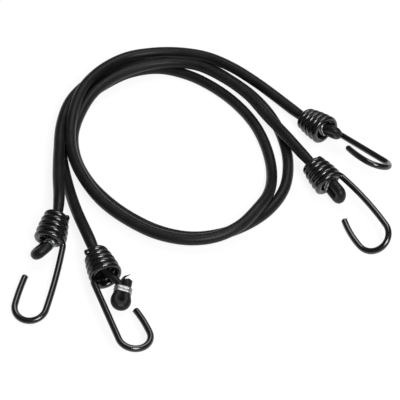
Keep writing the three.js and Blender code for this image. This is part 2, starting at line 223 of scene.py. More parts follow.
# %% Smooth line
def smooth_line(stops, samples=40):
    """Fine points of a smooth curve through all stops, with the stop number of each point."""
    stops = np.asarray(stops, float)
    padded = np.vstack([2 * stops[0] - stops[1], stops, 2 * stops[-1] - stops[-2]])
    points, places = [], []
    for i in range(len(stops) - 1):
        p0, p1, p2, p3 = padded[i : i + 4]
        t1 = np.linalg.norm(p1 - p0) ** 0.5
        t2 = t1 + np.linalg.norm(p2 - p1) ** 0.5
        t3 = t2 + np.linalg.norm(p3 - p2) ** 0.5
        t = np.linspace(t1, t2, samples, endpoint=False)[:, None]
        a1 = (t1 - t) / t1 * p0 + t / t1 * p1
        a2 = (t2 - t) / (t2 - t1) * p1 + (t - t1) / (t2 - t1) * p2
        a3 = (t3 - t) / (t3 - t2) * p2 + (t - t2) / (t3 - t2) * p3
        b1 = (t2 - t) / t2 * a1 + t / t2 * a2
        b2 = (t3 - t) / (t3 - t1) * a2 + (t - t1) / (t3 - t1) * a3
        points.append((t2 - t) / (t2 - t1) * b1 + (t - t1) / (t2 - t1) * b2)
        places.append(i + np.arange(samples) / samples)
    points.append(stops[-1:])
    places.append(np.array([len(stops) - 1.0]))
    return np.vstack(points), np.concatenate(places)


def length_along(points):
    """Length of the line from its start to each of its points."""
    steps = np.linalg.norm(np.diff(points, axis=0), axis=1)
    return np.concatenate([[0.0], np.cumsum(steps)])


def even_steps(points, values, step):
    """The same line at even steps, with the values that go along with it."""
    along = length_along(points)
    count = max(2, int(round(along[-1] / step)) + 1)
    wanted = np.linspace(0, along[-1], count)
    place = np.column_stack([np.interp(wanted, along, points[:, k]) for k in range(3)])
    return place, np.interp(wanted, along, values), wanted


for route in (ROUTE_A_TO_D, ROUTE_B_TO_C):
    print(f"route of {length_along(smooth_line(route)[0])[-1]:.0f} mm")

# %% [markdown]
# A tube also needs a sideways and an upward direction at each point of its line.
# They are carried along with as little turning as possible, so that the braid doesn't twist.
# A coil, a hook and a clip each have one such set of directions, from their turn.


# %% Directions
def turned_axes(turn):
    """Ahead, across and normal directions of a yaw, pitch and roll in degrees."""
    yaw, pitch, roll = np.radians(turn)
    ahead = np.array([math.cos(yaw) * math.cos(pitch), math.sin(yaw) * math.cos(pitch), math.sin(pitch)])
    level = np.array([-math.sin(yaw), math.cos(yaw), 0.0])
    upright = np.cross(ahead, level)
    across = level * math.cos(roll) + upright * math.sin(roll)
    return ahead, across, np.cross(ahead, across)


def carried_frames(points, start):
    """Side and up directions at each point, carried both ways from one point of the line."""
    ahead = np.gradient(points, axis=0)
    ahead /= np.linalg.norm(ahead, axis=1)[:, None]
    ups = np.zeros_like(points)
    for order in (range(start, len(points)), range(start, -1, -1)):
        carried = np.array([0.0, 0.0, 1.0])
        for i in order:
            carried = carried - ahead[i] * (carried @ ahead[i])
            carried = carried / np.linalg.norm(carried)
            ups[i] = carried
    return np.cross(ups, ahead), ups


print("the front coil points", turned_axes(ENDS["b"]["turn"])[0].round(2))

# %% [markdown]
# ## The centre line of a whole cord
#
# At an end the cord comes through the coil on its axis, narrows where the clip pinches it,
# turns back in a tight round and runs through the clip again to its cut end.
# Every stop has a radius of its own, so the cord swells and narrows along its line.

# %% Stops of a folded end
GRIP_PLACES = (0.75, 0.4)
BIGHT_STEPS = 6
SWELL_LAG = 0.1


def end_stops(end):
    """Stops and radii from the coil's narrow end to the cut end."""
    ahead, _, _ = turned_axes(end["turn"])
    mouth = np.array(end["mouth"])
    along_fold, across_fold, _ = turned_axes(end["clip_turn"])
    clip = np.array(end["clip"], float)
    gripped = CORD_RADIUS - COIL_GRIP
    swelling = end["bulge"] - SWELL_LAG
    stops = [(mouth - ahead * (COIL_LENGTH + WIRE_RADIUS), CORD_RADIUS)]
    stops += [(mouth - ahead * COIL_LENGTH * share, gripped) for share in GRIP_PLACES]

    def fold(x, y, radius):
        stops.append((clip + along_fold * x + across_fold * y, radius))

    fold(-NECK_HALF, NECK_OFFSET, NECK_RADIUS)
    fold(0, NECK_OFFSET, NECK_RADIUS)
    fold(NECK_HALF, end["shoulder"], swelling)
    for step in range(BIGHT_STEPS + 1):
        angle = step * math.pi / BIGHT_STEPS
        out = end["reach"] + end["depth"] * math.sin(angle)
        fold(out, BIGHT_RADIUS * math.cos(angle), end["bulge"])
    fold(NECK_HALF, -end["shoulder"], swelling)
    fold(0, -NECK_OFFSET, NECK_RADIUS)
    fold(-end["tail"], -NECK_OFFSET - end["cut_spread"], end["cut_radius"])
    return stops


print("stops at an end:", len(end_stops(ENDS["a"])))

# %% [markdown]
# The stops of both ends and the route between them make one line, cut into even rings.
# Three rings are remembered: where the first fold ends, where the last fold starts, and where the tail
# splits from the run.

# %% Cord lines
RING_STEP = 1.3
TAIL_STOPS = 3


def cord_line(first, route, last):
    """Even rings of a whole cord: centres, radii, lengths, frames, and where its parts begin."""
    head = end_stops(ENDS[first])[::-1]
    foot = end_stops(ENDS[last])
    stops = head + [(np.array(p, float), CORD_RADIUS + BRAID_PROUD) for p in route] + foot
    fine, place = smooth_line([p for p, _ in stops])
    radii = np.array([r for _, r in stops])
    lower = np.minimum(place.astype(int), len(stops) - 2)
    share = place - lower
    share = share * share * (3 - 2 * share)
    fine_radii = radii[lower] * (1 - share) + radii[lower + 1] * share
    along_fine = length_along(fine)
    centres, ring_radii, along = even_steps(fine, fine_radii, RING_STEP)
    side, up = carried_frames(centres, len(centres) // 2)

    def ring_at(stop):
        return int(round(np.interp(stop, place, along_fine) / along[-1] * (len(along) - 1)))

    route_end = len(head) + len(route)
    return {
        "centres": centres,
        "radii": ring_radii,
        "along": along,
        "side": side,
        "up": up,
        "head_end": ring_at(len(head) - 2),
        "foot_start": ring_at(route_end + 1),
        "split": ring_at(route_end - TAIL_STOPS),
    }


cord_1 = cord_line("a", ROUTE_A_TO_D, "d")
cord_2 = cord_line("b", ROUTE_B_TO_C, "c")
for line in (cord_1, cord_2):
    free = line["along"][line["foot_start"]] - line["along"][line["head_end"]]
    print(f"cord of {line['along'][-1]:.0f} mm, {free:.0f} mm of it between the coils")

# %% [markdown]
# ## Finishes
#
# A finish is a node tree that feeds one Principled shader. These few helpers add a node or two each,
# so that a finish below reads as a short list of steps.


# %% Node helpers
def new_material(name, roughness, metallic=0.0):
    material = bpy.data.materials.new(name)
    material.use_nodes = True
    shader = material.node_tree.nodes["Principled BSDF"]
    shader.inputs["Roughness"].default_value = roughness
    shader.inputs["Metallic"].default_value = metallic
    return material, material.node_tree, shader


def maths(tree, operation, *values):
    node = tree.nodes.new("ShaderNodeMath")
    node.operation = operation
    for socket, value in zip(node.inputs, values):
        if isinstance(value, (int, float)):
            socket.default_value = value
        else:
            tree.links.new(value, socket)
    return node.outputs[0]


def noise(tree, scale, detail=3.0):
    node = tree.nodes.new("ShaderNodeTexNoise")
    node.inputs["Scale"].default_value = scale
    node.inputs["Detail"].default_value = detail
    place = tree.nodes.new("ShaderNodeTexCoord").outputs["Object"]
    tree.links.new(place, node.inputs["Vector"])
    return node.outputs["Fac"]


def ramp(tree, value, stops, trait):
    """Drives one trait of a shader by a value, through (position, grey or colour) stops."""
    node = tree.nodes.new("ShaderNodeValToRGB")
    band = node.color_ramp
    while len(band.elements) < len(stops):
        band.elements.new(0.5)
    for element, (position, colour) in zip(band.elements, stops):
        element.position = position
        rgb = (colour,) * 3 if isinstance(colour, (int, float)) else colour
        element.color = (*rgb, 1)
    tree.links.new(value, node.inputs["Fac"])
    tree.links.new(node.outputs["Color"], trait)


def bump(tree, shader, height, strength, distance):
    node = tree.nodes.new("ShaderNodeBump")
    node.inputs["Strength"].default_value = strength
    node.inputs["Distance"].default_value = distance
    tree.links.new(height, node.inputs["Height"])
    tree.links.new(node.outputs["Normal"], shader.inputs["Normal"])


print("helpers for maths, noise, colour ramps and bumps")

# %% [markdown]
# The sheath of the cord is a fine braid. Strands of mesh would take millions of faces on two metres
# of cord, so the braid is woven in a material, on the cord's own UV map: u runs along and v round it.
# Two sets of slanting strands cross, and in each diamond one set lies on top.
# The height of that pattern drives a bump, and a painted shade that darkens the colour between the
# strands. A little lint lies on it.

# %% Braid
STRANDS_ROUND = 16
DIAMOND_LENGTH = 0.0021
CREVICE_SHADE_SHARE, FADE_SHARE = 0.6, 0.4
FADE_SCALE, LINT_SCALE = 55.0, 900.0
LINT_LEVEL = 0.74
WEAVE_BUMP, WEAVE_DEPTH = 0.4, 0.00014


def weave_height(tree):
    """Height of the crossing strands, from 0 between them to 1 on the upper one."""
    uv = tree.nodes.new("ShaderNodeUVMap")
    uv.uv_map = "braid"
    split = tree.nodes.new("ShaderNodeSeparateXYZ")
    tree.links.new(uv.outputs["UV"], split.inputs[0])
    along = maths(tree, "DIVIDE", split.outputs["X"], DIAMOND_LENGTH)
    around = maths(tree, "MULTIPLY", split.outputs["Y"], float(STRANDS_ROUND))
    ways = [maths(tree, "ADD", along, around), maths(tree, "SUBTRACT", along, around)]
    ridges = []
    for way in ways:
        part = maths(tree, "FRACT", way)
        ridges.append(maths(tree, "SINE", maths(tree, "MULTIPLY", part, math.pi)))
    count = maths(tree, "ADD", maths(tree, "FLOOR", ways[0]), maths(tree, "FLOOR", ways[1]))
    on_top = maths(tree, "FLOORED_MODULO", count, 2.0)
    under = maths(tree, "SUBTRACT", 1.0, on_top)
    upper = maths(tree, "MULTIPLY", ridges[0], on_top)
    lower = maths(tree, "MULTIPLY", ridges[1], under)
    return maths(tree, "ADD", upper, lower)


def make_braid():
    material, tree, shader = new_material("black_braid", 0.5)
    height = weave_height(tree)
    fade = noise(tree, FADE_SCALE)
    # Painted shade: the colour is darker where the strands dip between each other, and noise fades it at
    # random.
    crevice_shade = maths(tree, "MULTIPLY", height, CREVICE_SHADE_SHARE)
    faded = maths(tree, "MULTIPLY", fade, FADE_SHARE)
    shade = maths(tree, "ADD", crevice_shade, faded)
    lint = maths(tree, "GREATER_THAN", noise(tree, LINT_SCALE, detail=1.0), LINT_LEVEL)
    tone = maths(tree, "ADD", shade, lint)
    ramp(tree, tone, [(0.1, 0.003), (0.75, 0.01), (1.0, 0.03)], shader.inputs["Base Color"])
    ramp(tree, fade, [(0.3, 0.32), (0.7, 0.42)], shader.inputs["Roughness"])
    shader.inputs["Specular IOR Level"].default_value = 0.19
    bump(tree, shader, height, WEAVE_BUMP, WEAVE_DEPTH)
    return material


black_braid = make_braid()
print("braid of", 2 * STRANDS_ROUND, "strands")

# %% [markdown]
# The wire is dipped in gloss black, with a faint orange-peel surface and dull scuffs.
# The clips are plated strip, a little scratched. Painted images would need a UV map on every wire
# and clip. Noise on Object coordinates needs none, and a scale of its own for each trait keeps colour
# and roughness from changing together.

# %% Wire coating and clip steel
COATING_CLOUD, COATING_SCUFF, COATING_PEEL = 120.0, 420.0, 300.0
CLIP_CLOUD, CLIP_SCRATCH = 260.0, 1500.0


def make_coating():
    material, tree, shader = new_material("black_coating", 0.2)
    cloud = noise(tree, COATING_CLOUD)
    ramp(tree, cloud, [(0.3, 0.002), (0.75, 0.005)], shader.inputs["Base Color"])
    scuff = noise(tree, COATING_SCUFF, detail=5.0)
    ramp(tree, scuff, [(0.35, 0.18), (0.8, 0.24)], shader.inputs["Roughness"])
    shader.inputs["Specular IOR Level"].default_value = 0.75
    peel = noise(tree, COATING_PEEL, detail=1.0)
    bump(tree, shader, peel, strength=0.03, distance=0.0001)
    return material


def make_clip_steel():
    material, tree, shader = new_material("bright_clip", 0.28, 1.0)
    cloud = noise(tree, CLIP_CLOUD)
    greys = [(0.25, (0.3, 0.305, 0.31)), (0.75, (0.4, 0.405, 0.41))]
    ramp(tree, cloud, greys, shader.inputs["Base Color"])
    scratch = noise(tree, CLIP_SCRATCH, detail=4.0)
    ramp(tree, scratch, [(0.3, 0.42), (0.8, 0.55)], shader.inputs["Roughness"])
    bump(tree, shader, scratch, strength=0.08, distance=0.00005)
    return material


black_coating = make_coating()
bright_clip = make_clip_steel()
print("metal finishes:", black_coating.name, bright_clip.name)

# %% [markdown]
# The rubber strands and the loose threads at the cut ends are dull black. They differ only in their
# greys and their roughness, so one function makes both finishes.

# %% Rubber and loose threads
RUBBER_GRAIN = 800.0


def make_rubber(name, low, high, rough):
    material, tree, shader = new_material(name, rough)
    cloud = noise(tree, RUBBER_GRAIN)
    ramp(tree, cloud, [(0.25, low), (0.8, high)], shader.inputs["Base Color"])
    bump(tree, shader, cloud, strength=0.2, distance=0.0001)
    return material


core_rubber = make_rubber("core_rubber", low=0.012, high=0.03, rough=0.75)
loose_thread = make_rubber("loose_thread", low=0.008, high=0.03, rough=0.65)
print("all finishes:", [m.name for m in bpy.data.materials if m.use_nodes])

# %% [markdown]
# ## Cord tubes
#
# A bevelled curve would give a round tube. The cord needs more: a skin of rings round its line
# can swell and narrow, carry a UV map for the braid, and lie flat where it rests on the ground,
# as a loaded cord does, by keeping every point at or above the floor.
# A cut end turns in past the thickness of its sheath.

# %% Tubes
CORD_SIDES = 36
LIP_SHARE, RECESS_SHARE = 0.74, 0.72
RECESS_DEPTH = 1.2


def smooth(mesh, sharp_degrees):
    """Smooth shading, with an edge kept where faces meet at more than an angle."""
    mesh.shade_smooth()
    mesh.set_sharp_from_angle(angle=math.radians(sharp_degrees))


def mesh_object(name, vertices, faces, material, sharp_degrees=50):
    mesh = bpy.data.meshes.new(name)
    mesh.from_pydata([tuple(v) for v in vertices], [], faces)
    mesh.materials.append(material)
    smooth(mesh, sharp_degrees)
    return new_object(name, mesh)


def recess(ring, outward):
    """Two more rings that turn into a cut end: its lip and the floor behind it."""
    centre, radius, along, side, up = ring
    lip = (centre, radius * LIP_SHARE, along, side, up)
    floor = (centre - outward * RECESS_DEPTH, radius * RECESS_SHARE, along, side, up)
    return [lip, floor]


def tube_faces(rings, sides):
    """Faces of a closed tube: their corners as ring and place round it, and as point numbers."""
    corners = []
    for i in range(rings - 1):
        corners += [((i, k), (i, k + 1), (i + 1, k + 1), (i + 1, k)) for k in range(sides)]
    corners.append(tuple((0, k) for k in range(sides))[::-1])
    corners.append(tuple((rings - 1, k) for k in range(sides)))
    return corners, [tuple(i * sides + k % sides for i, k in face) for face in corners]


def cord_tube(name, line, first, last, cut_first=False, cut_last=False):
    """A stretch of a cord from ring to ring. A cut end shows its sheath's thickness."""
    span = slice(first, last + 1)
    rings = list(zip(*(line[key][span] for key in ("centres", "radii", "along", "side", "up"))))
    ahead = np.gradient(line["centres"], axis=0)[span]
    ahead /= np.linalg.norm(ahead, axis=1)[:, None]
    if cut_first:
        rings = recess(rings[0], -ahead[0])[::-1] + rings
    if cut_last:
        rings = rings + recess(rings[-1], ahead[-1])
    angles = np.arange(CORD_SIDES) * 2 * math.pi / CORD_SIDES
    vertices = []
    for centre, radius, _, side, up in rings:
        circle = centre + radius * (np.cos(angles)[:, None] * side + np.sin(angles)[:, None] * up)
        circle[:, 2] = np.maximum(circle[:, 2], 0.0)
        vertices.append(circle)
    corners, faces = tube_faces(len(rings), CORD_SIDES)
    thing = mesh_object(name, to_frame(np.vstack(vertices)), faces, black_braid)
    uv = thing.data.uv_layers.new(name="braid")
    flat = [value for face in corners for i, k in face for value in (rings[i][2] * MM, k / CORD_SIDES)]
    uv.data.foreach_set("uv", flat)
    return thing


print("faces of a tube of two rings:", len(tube_faces(2, CORD_SIDES)[1]))

# %% [markdown]
# Each cord is made in parts. The long run lies still with the loop.
# The last stretch before a hook on the right is a piece of its own, and so is each folded end.

# %% Parts of both cords
cord_pieces = {}
for name, line, head, foot in (("cord_1", cord_1, "a", "d"), ("cord_2", cord_2, "b", "c")):
    last = len(line["centres"]) - 1
    parts = (
        (f"fold_{head}", 0, line["head_end"]),
        (f"{name}_run", line["head_end"], line["split"]),
        (f"{name}_tail", line["split"], line["foot_start"]),
        (f"fold_{foot}", line["foot_start"], last),
    )
    for part, begin, finish in parts:
        cord_pieces[part] = cord_tube(part, line, begin, finish, begin == 0, finish == last)
print({name: len(thing.data.polygons) for name, thing in cord_pieces.items()})

# %% [markdown]
# ## Wire hooks
#
# A hook is one bent wire: a short stub, a coil that widens like a bell, a bend, a shank,
# the round of the hook and a tip leg. Every part of its path follows a rule.
# The path is worked out in the hook's own frame: x along the coil's axis, y towards the shank.
# The first half of it is the same on all four hooks.

# %% Stub, coil and bend
STUB_LENGTH = 3.6
STUB_LEAN = math.radians(28)
SHANK_BEND_RADIUS = 4.5
BEND_ANGLES = np.radians(np.linspace(7.5, 90, 12))
COIL_FINENESS = 5
WIRE_END = ((0.0, 0.3), (0.15, 0.6), (0.5, 0.84), (1.1, 0.97), (1.8, 1.0))
SHANK_TURN = math.atan2(SHANK_BEND_RADIUS, COIL_MOUTH_RADIUS)


def coil_point(left):
    """The point of the coil that lies so many twelfths of a turn before its mouth."""
    narrow = (left / COIL_STEPS) ** 2
    radius = COIL_MOUTH_RADIUS - (COIL_MOUTH_RADIUS - COIL_ENTRY_RADIUS) * narrow
    angle = SHANK_TURN + left * 2 * math.pi / COIL_TURN_STEPS
    back = -left * COIL_PITCH / COIL_TURN_STEPS
    return np.array([back, radius * math.cos(angle), radius * math.sin(angle)])


def coil_parts():
    """Points of the stub, of the coil and of the bend from its last turn into the shank."""
    coil = [coil_point(COIL_STEPS - k / COIL_FINENESS) for k in range(COIL_STEPS * COIL_FINENESS + 1)]
    stub_way = coil_point(COIL_STEPS) - coil_point(COIL_STEPS - 1)
    stub_way[0] = 0
    stub_way /= np.linalg.norm(stub_way)
    outwards = coil[0] * [0, 1, 1] / COIL_ENTRY_RADIUS
    stub_way = stub_way * math.cos(STUB_LEAN) + outwards * math.sin(STUB_LEAN)
    stub = [coil[0] + stub_way * (STUB_LENGTH - back) for back, _ in WIRE_END]
    last_angle = SHANK_TURN - math.pi / 2
    round_way = np.array([0, math.cos(last_angle), math.sin(last_angle)])
    bend = []
    for angle in BEND_ANGLES:
        point = coil[-1] + round_way * SHANK_BEND_RADIUS * math.sin(angle)
        point[0] = SHANK_BEND_RADIUS * (1 - math.cos(angle))
        bend.append(point)
    return stub, coil, bend


print("points of stub, coil and bend:", [len(part) for part in coil_parts()])

# %% [markdown]
# The shank bows out along a parabola, and the round takes over at the slope where that ends.
# The tip leg goes on bending gently inwards.
# Both cut ends of the wire are rounded off by WIRE_END, pairs of a way back and a share of the thickness.

# %% Shank, round and tip
SHANK_LENGTH = 56.0
SHANK_POINTS = 16
ROUND_POINTS = 40
LEG_POINTS = 8
LEG_END = 3
COIL_SWELL = 1.01


def hook_parts(end, shank_side):
    """Points of the shank, the round and the tip leg of one hook."""
    half = end["width"] / 2
    slope = 4 * end["bow"] / (SHANK_LENGTH - SHANK_BEND_RADIUS)
    hook_round = [
        np.array([SHANK_LENGTH + half * math.sin(a), shank_side - half * (1 - math.cos(a)), 0])
        for a in np.linspace(math.atan(slope), math.pi, ROUND_POINTS)
    ]
    shank_start = np.array([SHANK_BEND_RADIUS, shank_side, 0])
    shank = []
    for share in np.linspace(0, 1, SHANK_POINTS)[1:-1]:
        straight = shank_start + (hook_round[0] - shank_start) * share
        shank.append(straight + np.array([0, 4 * end["bow"] * share * (1 - share), 0]))
    curl = 2 * math.radians(end["lean"]) / end["tip"]
    leg_places = list(np.linspace(0, end["tip"] - LEG_END, LEG_POINTS)[1:])
    leg_places += [end["tip"] - back for back, _ in WIRE_END[::-1]]
    leg = [
        hook_round[-1] + np.array([-math.sin(curl * place), 1 - math.cos(curl * place), 0]) / curl
        for place in leg_places
    ]
    return shank + hook_round + leg


def hook_path(end):
    """Points of a hook's wire in the hook's own frame, and the thickness at each of them."""
    stub, coil, bend = coil_parts()
    points = np.array(stub + coil + bend + hook_parts(end, bend[-1][1]))
    thick = np.ones(len(points))
    coil_first, coil_last = len(stub), len(stub) + len(coil)
    thick[coil_first:coil_last] = COIL_SWELL
    thick[coil_last : coil_last + len(bend)] = np.linspace(COIL_SWELL, 1, len(bend))
    for k, (_, share) in enumerate(WIRE_END):
        thick[k] = thick[-1 - k] = share
    return points, thick


print("wires in mm:", {letter: round(length_along(hook_path(end)[0])[-1]) for letter, end in ENDS.items()})

# %% [markdown]
# A node tree sweeps a circle along the path. A bevelled curve could do that too, but the tree keeps
# the wire's radius, its sides and its finish as named inputs that can be tried by hand.
# The path is a chain of edges that carries the thickness at each point as an attribute.
# An input has a name and a kind, and a number also has its usual and its least value.

# %% Wire sweep tree
WIRE_SIDES = 22
WIRE_INPUTS = (
    ("Path", "Geometry"),
    ("Wire radius", "Float", WIRE_RADIUS * MM, 0.0),
    ("Sides", "Int", WIRE_SIDES, 3),
    ("Finish", "Material"),
)


def new_tree(name, inputs, output):
    """A node tree with named inputs and one output, and the identifiers that a modifier needs."""
    tree = bpy.data.node_groups.new(name, "GeometryNodeTree")
    ids = {}
    for label, kind, *limits in inputs:
        socket = tree.interface.new_socket(label, in_out="INPUT", socket_type=f"NodeSocket{kind}")
        ids[label] = socket.identifier
        if limits:
            socket.default_value, socket.min_value = limits
    tree.interface.new_socket(output, in_out="OUTPUT", socket_type="NodeSocketGeometry")
    return tree, ids


def wire_tree():
    tree, ids = new_tree("bent_wire", WIRE_INPUTS, "Wire")
    add, link = tree.nodes.new, tree.links.new
    start = add("NodeGroupInput")
    path = add("GeometryNodeMeshToCurve")
    circle = add("GeometryNodeCurvePrimitiveCircle")
    thickness = add("GeometryNodeInputNamedAttribute")
    thickness.data_type = "FLOAT"
    thickness.inputs["Name"].default_value = "thickness"
    sweep = add("GeometryNodeCurveToMesh")
    sweep.inputs["Fill Caps"].default_value = True
    real = add("GeometryNodeRealizeInstances")
    finish = add("GeometryNodeSetMaterial")
    end = add("NodeGroupOutput")
    link(start.outputs["Path"], path.inputs["Mesh"])
    link(start.outputs["Wire radius"], circle.inputs["Radius"])
    link(start.outputs["Sides"], circle.inputs["Resolution"])
    link(path.outputs["Curve"], sweep.inputs["Curve"])
    link(circle.outputs["Curve"], sweep.inputs["Profile Curve"])
    link(thickness.outputs["Attribute"], sweep.inputs["Scale"])
    link(sweep.outputs["Mesh"], real.inputs["Geometry"])
    link(real.outputs["Geometry"], finish.inputs["Geometry"])
    link(start.outputs["Finish"], finish.inputs["Material"])
    link(finish.outputs["Geometry"], end.inputs["Wire"])
    return tree, ids


WIRE_TREE, WIRE_IDS = wire_tree()
print("wire tree inputs:", list(WIRE_IDS))

# %% [markdown]
# A tree's result lives only in its modifier. These two helpers keep it as a plain mesh of its own,
# and turn all its faces outwards.

# %% Plain meshes
SAME_POINT = 1e-6


def plain_mesh(thing, tree, settings):
    """Runs a node tree on an object and keeps the result as its own plain mesh."""
    modifier = thing.modifiers.new(tree.name, "NODES")
    modifier.node_group = tree
    for identifier, value in settings.items():
        modifier[identifier] = value
    bpy.context.view_layer.update()
    graph = bpy.context.evaluated_depsgraph_get()
    made = bpy.data.meshes.new_from_object(thing.evaluated_get(graph))
    thing.modifiers.remove(modifier)
    old = thing.data
    thing.data = made
    made.name = thing.name
    bpy.data.meshes.remove(old)


def face_outwards(mesh):
    """Merges double points and turns all faces of a closed shape outwards."""
    shape = bmesh.new()
    shape.from_mesh(mesh)
    bmesh.ops.remove_doubles(shape, verts=shape.verts, dist=SAME_POINT)
    bmesh.ops.recalc_face_normals(shape, faces=shape.faces)
    shape.to_mesh(mesh)
    shape.free()


print("points closer than", SAME_POINT / MM, "mm become one")

# %% [markdown]
# The wire was sheared to length, which leaves a small burr of coating on the rim of the tip.
# It is a flat little tooth, added to the finished wire on the side that faces the shank.
# BURR_BASE holds the four corners of its root, as ways towards the shank, beside it and outwards.

# %% Burr
BURR_SIZE = {"a": (1.4, 0.1), "b": (1.2, 0.0), "c": (0.4, 0.1), "d": (1.5, 0.5)}
BURR_BASE = ((0, 0.9, -0.4), (0.45, 0, -0.5), (0, -0.9, -0.4), (-0.4, 0, -0.3))
BURR_ROOT = 0.72
BURR_WAIST = 0.6


def add_burr(mesh, tip, out, way, height, lift):
    """A small tooth on the rim of the tip. It leans outwards by its lift."""
    beside = np.cross(out, way)
    root = tip + way * WIRE_RADIUS * BURR_ROOT
    base = [root + way * w + beside * b + out * o for w, b, o in BURR_BASE]
    rise = (out * lift * BURR_WAIST + way * 0.5) * height
    middle = [root + (p - root) * BURR_WAIST + rise for p in base]
    peak = root + (out * lift + way) * height
    shape = bmesh.new()
    shape.from_mesh(mesh)
    low = [shape.verts.new(to_frame(p)) for p in base]
    mid = [shape.verts.new(to_frame(p)) for p in middle]
    top = shape.verts.new(to_frame(peak))
    for k in range(4):
        n = (k + 1) % 4
        shape.faces.new((low[k], low[n], mid[n], mid[k]))
        shape.faces.new((mid[k], mid[n], top))
    shape.faces.new(low[::-1])
    bmesh.ops.recalc_face_normals(shape, faces=shape.faces)
    shape.to_mesh(mesh)
    shape.free()


print("burrs in mm:", {letter: size[0] for letter, size in BURR_SIZE.items()})

# %% [markdown]
# Now the four hooks are swept and placed. Any point that would lie under the ground is lifted to it.

# %% Hooks
BURR_SINK = 0.6
WIRE_SHARP = 48
wire_settings = {
    WIRE_IDS["Wire radius"]: WIRE_RADIUS * MM,
    WIRE_IDS["Sides"]: WIRE_SIDES,
    WIRE_IDS["Finish"]: black_coating,
}
hooks = {}
for letter, end in ENDS.items():
    axes = np.array(turned_axes(end["turn"]))
    points, thick = hook_path(end)
    placed = np.array(end["mouth"]) + points @ axes
    edges = [(i, i + 1) for i in range(len(placed) - 1)]
    path = bpy.data.meshes.new(f"wire_{letter}")
    path.from_pydata([tuple(p) for p in to_frame(placed)], edges, [])
    thickness = path.attributes.new("thickness", "FLOAT", "POINT")
    thickness.data.foreach_set("value", thick.astype(np.float32))
    hook = new_object(f"wire_hook_{letter}", path)
    plain_mesh(hook, WIRE_TREE, wire_settings)
    face_outwards(hook.data)
    tip_way = placed[-1] - placed[-2]
    tip_way /= np.linalg.norm(tip_way)
    tip_side = np.cross(tip_way, axes[2])
    add_burr(hook.data, placed[-1] - tip_way * BURR_SINK, tip_way, tip_side, *BURR_SIZE[letter])
    for vertex in hook.data.vertices:
        vertex.co.z = max(vertex.co.z, 0.0)
    smooth(hook.data, WIRE_SHARP)
    hooks[letter] = hook
print({letter: len(hook.data.polygons) for letter, hook in hooks.items()})

# %% [markdown]
# ## Clips
#
# A clip is a strip of bright steel, rolled into two round beads with a groove between them.
# It is bent round both legs of the fold, and its two ends almost meet.
# A ring cut from a cylinder would be round, and this outline isn't. So the strip's section is swept
# round the outline of the two legs, station by station.

# %% Strip and outline
CLIP_HALF = 2.5
CLIP_INSIDE = NECK_RADIUS + 0.15
CLIP_THICKNESS = 1.1
CLIP_GROOVE = 0.35
CLIP_SLIT = 0.8


def strip_section(points=9):
    """Outline of the strip: flat inside, two beads outside, as (out, along) pairs."""
    bead_half = CLIP_HALF / 2
    outside = []
    for bead in (-1, 1):
        for angle in np.linspace(math.pi, 0, points):
            out = CLIP_GROOVE + (CLIP_THICKNESS - CLIP_GROOVE) * math.sin(angle)
            outside.append((out, bead * bead_half + bead_half * math.cos(angle)))
    return [(0.0, -CLIP_HALF)] + outside + [(0.0, CLIP_HALF)]


def clip_outline(steps=14):
    """Stations round both legs: place across the legs, and the direction that faces out."""
    quarter = math.pi / 2
    stations = [(CLIP_SLIT / 2, quarter), (NECK_OFFSET / 2, quarter)]
    for centre, start in ((NECK_OFFSET, quarter), (-NECK_OFFSET, -quarter)):
        stations += [(centre, start - math.pi * k / steps) for k in range(steps + 1)]
    return stations + [(-NECK_OFFSET / 2, quarter), (-CLIP_SLIT / 2, quarter)]


section, outline = strip_section(), clip_outline()
print("clip of", len(outline), "stations with", len(section), "points each")

# %% [markdown]
# Each clip takes its place and its turn from its end. All four have the same faces, which are
# numbered as those of a cord tube are, and then turned outwards.

# %% Clips
CLIP_SHARP = 55
_, strip_faces = tube_faces(len(outline), len(section))
clips = {}
for letter, end in ENDS.items():
    ahead, across, normal = turned_axes(end["clip_turn"])
    vertices = []
    for centre, angle in outline:
        for out, along in section:
            reach = CLIP_INSIDE + out
            sideways = centre + reach * math.cos(angle)
            spot = ahead * along + across * sideways + normal * reach * math.sin(angle)
            vertices.append(np.array(end["clip"]) + spot)
    name = f"steel_clip_{letter}"
    clips[letter] = mesh_object(name, to_frame(vertices), strip_faces, bright_clip, CLIP_SHARP)
    face_outwards(clips[letter].data)
print("faces of a clip:", len(strip_faces))

# %% [markdown]
# ## Cut ends
#
# Where a cord was cut, its core of round rubber strands looks out of the braid,
# and the braid's threads stick out in a ragged fringe. Strands and threads both repeat,
# so a node tree sets small cylinders on three circles and thin cones on a fourth,
# each with a random tilt and length from a fixed seed. Placed by hand they would look too neat.

# %% Rods on a circle
HALF_TURN = 3.14


